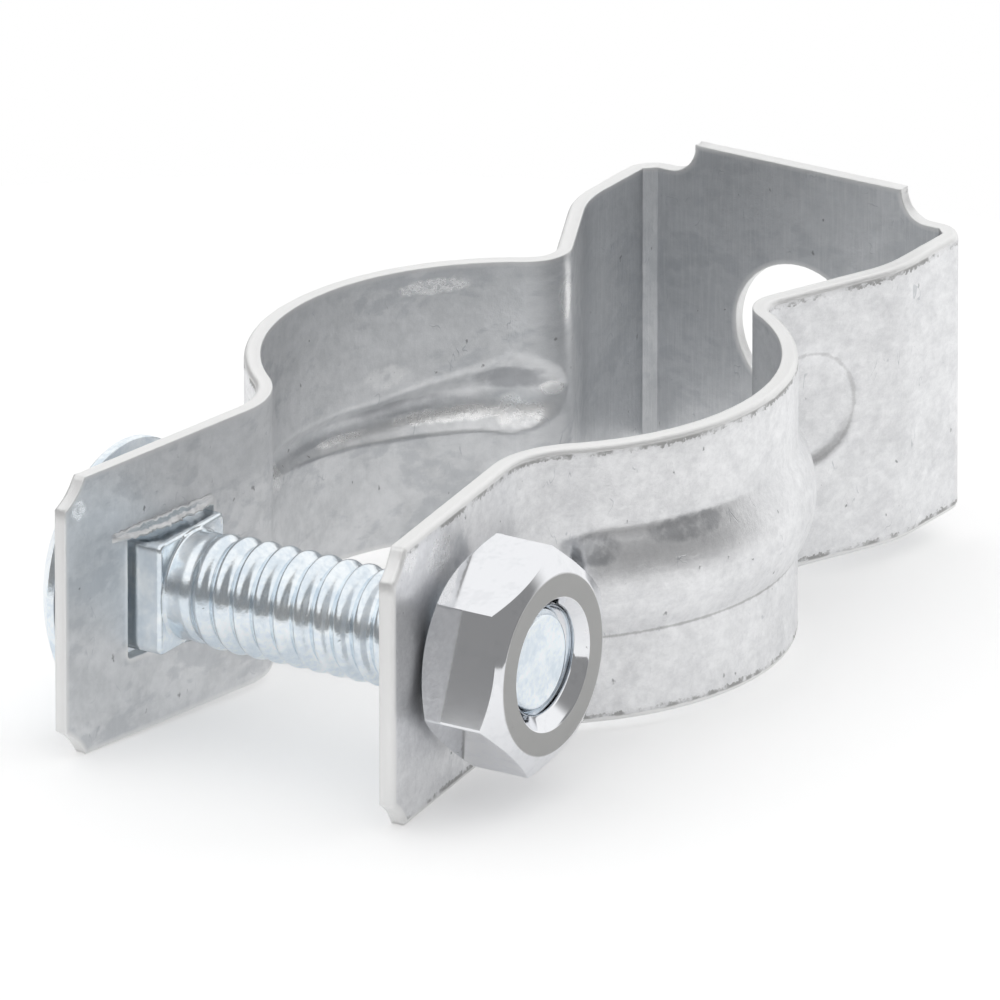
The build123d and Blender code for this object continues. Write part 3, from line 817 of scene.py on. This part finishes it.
def squareRadius(turn, half, bow):
    # Reach of a square with rounded corners at an angle
    c, s = abs(math.cos(turn)), abs(math.sin(turn))
    flat = half / max(c, s)
    inner = half - bow
    lead = inner * (c + s)
    left = lead ** 2 - 2 * inner ** 2 + bow ** 2
    if left <= 0 or flat * min(c, s) < inner:
        return flat
    return lead + math.sqrt(left)


def threadRadius(x, turn, size):
    # Outside of a rolled thread with rounded crests, at a distance along the bolt
    phase = (x / size["pitch"] - turn / (2 * math.pi)) % 1.0
    valley = math.cos(math.pi * phase) ** 2
    return size["radius"] - size["threadDepth"] * (0.6 * valley + 0.4 * valley * valley)


def makeBolt(size, material):
    wide, tall, rim, soft = size["headRadius"], size["headHeight"], size["headRim"], size["headSoft"]
    ball = (wide ** 2 + (tall - rim) ** 2) / (2 * (tall - rim))
    rows = []

    def ring(height, radius):
        rows.append(lambda turn: (height, radius))

    for k in range(1, 22):
        radius = (wide - soft) * math.sin(math.pi / 2 * k / 21)
        ring(-tall + ball - math.sqrt(ball ** 2 - radius ** 2), radius)
    edge = rows[-1](0)[0]
    for a in (math.radians(30 * k) for k in range(1, 4)):
        ring(edge + 0.05 + 0.1 * (1 - math.cos(a)), wide - soft + soft * math.sin(a))
    for a in (math.radians(30 * k) for k in range(4)):
        ring(-soft + soft * math.sin(a), wide - soft + soft * math.cos(a))
    ring(0.0, wide - 0.6)
    half, bow, deep = size["neckHalf"], size["neckRound"], size["neckDepth"]

    def square(height, shrink):
        rows.append(lambda turn: (height, squareRadius(turn, half - shrink, bow)))

    for height, shrink in ((0.0, -0.35), (0.0, -0.12), (0.05, -0.04), (0.14, 0.0), (deep / 2, 0.0),
                           (deep - 0.3, 0.0), (deep - 0.12, 0.02), (deep - 0.03, 0.09), (deep, 0.2)):
        square(height, shrink)
    blank = size["radius"] - size["threadDepth"] / 2
    ring(deep, blank + 0.22)
    ring(deep + 0.05, blank + 0.06)
    ring(deep + 0.16, blank)
    start, end = deep + size["runOut"] - 0.4, size["length"]
    fadeEnd = start + 1.7 * size["pitch"]
    pointSlope = (size["radius"] - size["pointRadius"]) / size["pointLength"]
    count = int((end - start) / (size["pitch"] / size["rowsPerTurn"]))

    def thread(x):
        def at(turn):
            share = smooth(min(1.0, max(0.0, (x - start) / (fadeEnd - start))))
            radius = blank * (1 - share) + threadRadius(x, turn, size) * share
            point = size["pointRadius"] + (end - x) * pointSlope
            return x, min(radius, point)
        rows.append(at)

    for k in range(count + 1):
        thread(start + (end - start) * k / count)
    face = size["pointRadius"] - 0.12
    ring(end, face)
    ring(end - 0.05, face * 0.86)
    ring(end - 0.06, face * 0.5)
    ring(end - 0.06, face * 0.06)

    def where(height, radius, turn):
        return (size["headSeat"] + height, size["axisY"] + radius * math.cos(turn), radius * math.sin(turn))

    points, faces = lathe(rows, size["columns"], where)
    return makePiece("carriage_bolt_threaded", points, faces, material, {})


def zincPlated(size):
    material, tree, shader = newMaterial("zincPlatedBolt")
    paint = size["paint"]
    spot = placeInMm(tree)
    clouds = use(tree, mottle, {"Vector": spot, "Size": size["cloudSize"]})
    lines = use(tree, brushing, {"Vector": spot, "Stretch": size["linesPerMm"]})["Lines"]
    pits = pitMask(tree, spot, size)
    colour = blendColour(tree, clouds["Shade"], paint["deep"], paint["zinc"])
    colour = blendColour(tree, times(tree, pits, 0.6), colour, paint["speck"])
    rough = timesPlus(tree, clouds["Shade"], -0.06, 0.2)
    rough = timesPlus(tree, lines, 0.08, rough)
    height = timesPlus(tree, clouds["Height"], 0.7, times(tree, pits, -0.8))
    dress(tree, shader, colour, 1.0, rough, height, 0.35, 0.00004)
    return material


boltPiece = makeBolt(bolt, zincPlated(bolt))
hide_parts("carriage_bolt")
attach(boltPiece, "bolt")


# Hexagon nut

nut = {
    "axisY": -21.418, "seat": 10.34, "thick": 5.1, "flat": 5.555, "turn": 19.3,
    "faceRadius": 5.0, "cone": 30.0, "sinkRadius": 3.7, "boreRadius": 3.225, "cornerSoft": 0.07,
    "pitch": 1.27, "threadDepth": 0.38, "clear": 0.05, "columnsPerSide": 34, "rowsPerTurn": 14,
    "cloudSize": 2.2, "pitSpacing": 0.7, "pitShare": 0.3, "nickStretch": (0.2, 2.6, 2.6), "nickShare": 0.3,
    "paint": {"bright": (0.87, 0.88, 0.905, 1), "turned": (0.43, 0.43, 0.425, 1),
              "smoke": (0.62, 0.64, 0.67, 1), "scuff": (0.98, 0.98, 0.98, 1)},
}


def hexReach(turn, flat, soft):
    # Reach of a hexagon with a corner at turn 0 and all its corners a little rounded
    local = (math.degrees(turn) % 60) - 30
    a = flat / math.cos(math.radians(local))
    b = flat / math.cos(math.radians(60 - abs(local)))
    gap = max(soft - abs(b - a), 0.0) / soft
    return min(a, b) - gap * gap * soft / 4


def makeNut(size, material):
    thick, face, sink, bore = size["thick"], size["faceRadius"], size["sinkRadius"], size["boreRadius"]
    slope = math.tan(math.radians(size["cone"]))
    perSide = size["columnsPerSide"]
    turns = []
    for side in range(6):
        for k in range(perSide):
            local = 30 * math.sin(math.pi / 2 * (2 * k / perSide - 1))
            turns.append(math.radians(60 * side + 30 + local))
    rows = []

    def ring(height, radius):
        rows.append(lambda reach, turn: (height, radius))

    def coned(share, fromTop):
        def at(reach, turn):
            radius = face + (reach - face) * share
            drop = (radius - face) * slope
            return (thick - drop if fromTop else drop), radius
        rows.append(at)

    def side(share):
        def at(reach, turn):
            drop = (reach - face) * slope + 0.03
            return drop + (thick - 2 * drop) * share, reach
        rows.append(at)

    def thread(x):
        def at(reach, turn):
            alongBolt = size["seat"] + x - bolt["headSeat"]
            radius = threadRadius(alongBolt, turn + math.radians(size["turn"]), bolt) + size["clear"]
            mouth = bore - min(x, thick - x) + (sink - bore)
            return x, max(radius, bore - size["threadDepth"], mouth)
        rows.append(at)

    steps = int(thick / (size["pitch"] / size["rowsPerTurn"]))
    for k in range(steps + 1):
        thread(thick * k / steps)
    for radius in (sink + 0.03, sink + 0.4, (sink + face) / 2, face - 0.25, face - 0.05):
        ring(thick, radius)
    for share in (0.06, 0.3, 0.6, 0.85, 0.96, 0.99):
        coned(share, True)
    for share in (1.0, 0.985, 0.93, 0.7, 0.5, 0.3, 0.07, 0.015, 0.0):
        side(share)
    for share in (0.99, 0.96, 0.85, 0.6, 0.3, 0.06):
        coned(share, False)
    for radius in (face - 0.05, face - 0.25, (sink + face) / 2, sink + 0.4, sink + 0.03):
        ring(0.0, radius)

    columns = len(turns)
    points, turned = [], []
    for row in rows:
        for turn in turns:
            height, radius = row(hexReach(turn, size["flat"], size["cornerSoft"]), turn)
            angle = turn + math.radians(size["turn"])
            y, z = size["axisY"] + radius * math.cos(angle), radius * math.sin(angle)
            points.append((size["seat"] + height, y, z))
            turned.append(1.0 if height > thick - 0.001 and sink < radius < face else 0.0)
    faces = []
    for j in range(len(rows)):
        for k in range(columns):
            a, b = j * columns + k, j * columns + (k + 1) % columns
            c = (j + 1) % len(rows) * columns
            faces.append((a, b, c + (k + 1) % columns, c + k))
    return makePiece("hexagon_nut", points, faces, material, {"turnedFace": turned})


def brightZinc(size):
    material, tree, shader = newMaterial("brightNut")
    paint = size["paint"]
    spot = placeInMm(tree)
    turned = place(tree, "Attribute", {}, attribute_name="turnedFace").outputs["Fac"]
    clouds = use(tree, mottle, {"Vector": spot, "Size": size["cloudSize"]})
    pits, nicks = pitMask(tree, spot, size), nickMask(tree, spot, size)
    darkened = ramp(tree, clouds["Shade"], 0.35, 1.0, 0.0, 0.2)
    colour = blendColour(tree, darkened, paint["bright"], paint["smoke"])
    scuffs = times(tree, maths(tree, "MAXIMUM", nicks, pits), 0.3)
    colour = blendColour(tree, scuffs, colour, paint["scuff"])
    colour = blendColour(tree, turned, colour, paint["turned"])
    rough = timesPlus(tree, clouds["Shade"], 0.03, 0.07)
    rough = timesPlus(tree, nicks, 0.3, rough)
    rough = timesPlus(tree, pits, 0.3, rough)
    rough = timesPlus(tree, turned, 0.38, rough)
    height = timesPlus(tree, pits, -1.0, times(tree, nicks, -0.8))
    dress(tree, shader, colour, 1.0, rough, height, 0.4, 0.00002)
    return material


nutPiece = makeNut(nut, brightZinc(nut))
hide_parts("hex_nut")
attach(nutPiece, "nut")


# Floor, light and camera

studio = {
    "floorRadius": 0.088, "floorLean": -1.69, "floorAt": (0, -12.0, -8.48),
    "floorColour": (0.94, 0.94, 0.94, 1),
    "floorLift": 0.26, "dome": 1.0, "darkLevel": 0.27,
    "bandFoot": (-0.2, -0.12), "bandTop": (0.34, 0.5), "bandRise": 0.32, "bandRiseFrom": (0.45, 0.72),
    "brightBack": (0.5, 0.76), "shineLift": 0.16,
    "azimuth": 32.1, "elevation": 20.77, "aim": (0.0, 0.0, 0.0), "aimPixel": (521.05, 490.0),
    "pixelsPerMm": 18.52, "distance": 2.2365,
}


def makeFloor(size):
    bpy.ops.mesh.primitive_circle_add(vertices=96, radius=size["floorRadius"], fill_type="NGON")
    floor = bpy.context.object
    floor.name = "floor"
    floor.rotation_euler = (math.radians(size["floorLean"]), 0, 0)
    floor.location = Vector(size["floorAt"]) * mm
    material, tree, shader = newMaterial("paleFloor")
    rays = place(tree, "LightPath", {}).outputs
    lift = times(tree, rays["Is Camera Ray"], size["floorLift"])
    lift = timesPlus(tree, rays["Is Glossy Ray"], size["shineLift"], lift)
    feed(tree, shader, {"Base Color": size["floorColour"], "Roughness": 1.0, "Specular IOR Level": 0.0,
                        "Emission Color": (1, 1, 1, 1), "Emission Strength": lift})
    floor.data.materials.append(material)


def makeDome(size):
    world = bpy.data.worlds.new("dome")
    bpy.context.scene.world = world
    world.use_nodes = True
    tree = world.node_tree
    sky = tree.nodes["Background"]
    direction = place(tree, "TexCoord", {}).outputs["Generated"]
    to = place(tree, "SeparateXYZ", {"Vector": direction}).outputs
    # A dark surround round the horizon: taller on the right, and open behind the object
    foot = ramp(tree, to["Z"], *size["bandFoot"])
    rise = ramp(tree, to["X"], *size["bandRiseFrom"], 0.0, size["bandRise"])
    lower = maths(tree, "SUBTRACT", to["Z"], rise)
    dark = times(tree, foot, ramp(tree, lower, *size["bandTop"], 1.0, 0.0))
    dark = times(tree, dark, ramp(tree, to["Y"], *size["brightBack"], 1.0, 0.0))
    level = blendColour(tree, dark, (1, 1, 1, 1), (size["darkLevel"],) * 3 + (1,))
    camera = place(tree, "LightPath", {}).outputs["Is Camera Ray"]
    level = blendColour(tree, camera, level, (1, 1, 1, 1))
    tree.links.new(level, sky.inputs["Color"])
    sky.inputs["Strength"].default_value = size["dome"]


def makeCamera(size):
    a, e = math.radians(size["azimuth"]), math.radians(size["elevation"])
    back = Vector((math.sin(a) * math.cos(e), -math.cos(a) * math.cos(e), math.sin(e)))
    right = Vector((math.cos(a), math.sin(a), 0))
    up = back.cross(right)
    shift = [(500 - p) / size["pixelsPerMm"] * mm for p in size["aimPixel"]]
    centre = Vector(size["aim"]) * mm + right * shift[0] - up * shift[1]
    data = bpy.data.cameras.new("photoView")
    data.sensor_width = 36
    data.lens = size["pixelsPerMm"] / mm * size["distance"] * data.sensor_width / 1000
    data.clip_start, data.clip_end = 0.05, 50
    camera = bpy.data.objects.new("photoView", data)
    camera.location = centre + back * size["distance"]
    camera.rotation_euler = (-back).to_track_quat("-Z", "Y").to_euler()
    bpy.context.scene.collection.objects.link(camera)
    bpy.context.scene.camera = camera


makeFloor(studio)
makeDome(studio)
makeCamera(studio)
bpy.context.scene.view_settings.view_transform = "Standard"
print("floor, light and camera ready")
